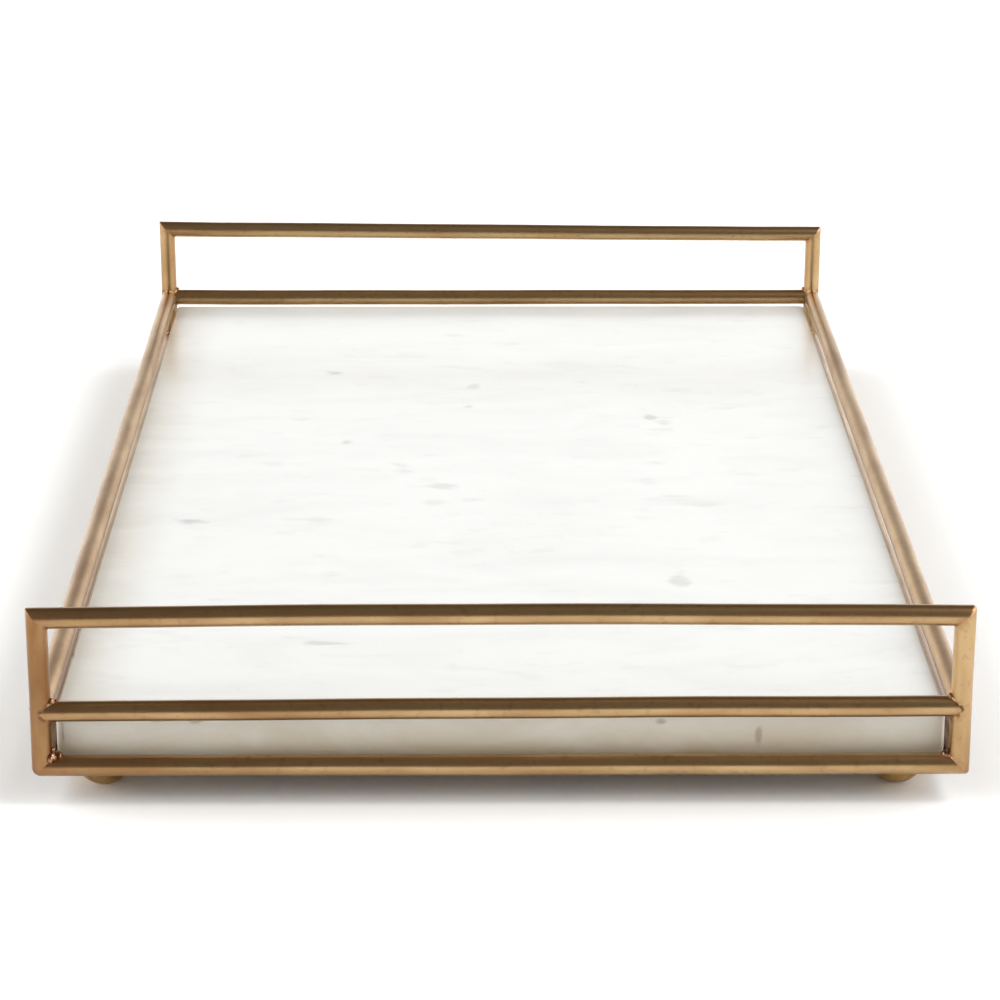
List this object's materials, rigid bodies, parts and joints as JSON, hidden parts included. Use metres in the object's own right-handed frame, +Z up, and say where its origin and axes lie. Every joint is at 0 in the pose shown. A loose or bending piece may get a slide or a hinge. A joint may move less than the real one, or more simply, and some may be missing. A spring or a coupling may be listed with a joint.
{
  "type": "dresser vanity tray",
  "caption": "Loose marble slab in a welded rectangular round-rod frame with a raised handle bar at each short end, on small dome feet.",
  "frame": {"origin": "on the surface that the tray stands on, under the middle of the tray", "axes": "+X along the short ends to the right, +Y along the length to the rear handle bar, +Z up"},
  "size_m": [0.305, 0.508, 0.0691],
  "materials": {
    "rod_frame": "satin",
    "strap": "satin",
    "foot": "satin",
    "screw": "satin",
    "pad": "matte",
    "marble": "satin"
  },
  "bodies": {
    "frame": {"handle_bar_front": "rod_frame", "handle_bar_rear": "rod_frame", "lower_end_rail_front": "rod_frame", "lower_end_rail_rear": "rod_frame", "lower_side_rail_left": "rod_frame", "lower_side_rail_right": "rod_frame", "post_front_left": "rod_frame", "post_front_right": "rod_frame", "post_rear_left": "rod_frame", "post_rear_right": "rod_frame", "upper_end_rail_front": "rod_frame", "upper_end_rail_rear": "rod_frame", "upper_side_rail_left": "rod_frame", "upper_side_rail_right": "rod_frame", "support_strap_front": "strap", "support_strap_middle": "strap", "support_strap_rear": "strap", "foot_front_left": "foot", "foot_front_right": "foot", "foot_rear_left": "foot", "foot_rear_right": "foot", "foot_screw_front_left": "screw", "foot_screw_front_right": "screw", "foot_screw_rear_left": "screw", "foot_screw_rear_right": "screw", "slab_pad_front_left": "pad", "slab_pad_front_right": "pad", "slab_pad_middle_left": "pad", "slab_pad_middle_right": "pad", "slab_pad_rear_left": "pad", "slab_pad_rear_right": "pad"},
    "slab": {"marble_slab": "marble"}
  },
  "joints": [
    {"name": "slab_lift", "type": "slide", "parent": "frame", "child": "slab", "axis": [0, 0, 1], "range_m": [0, 0.06]}
  ]
}
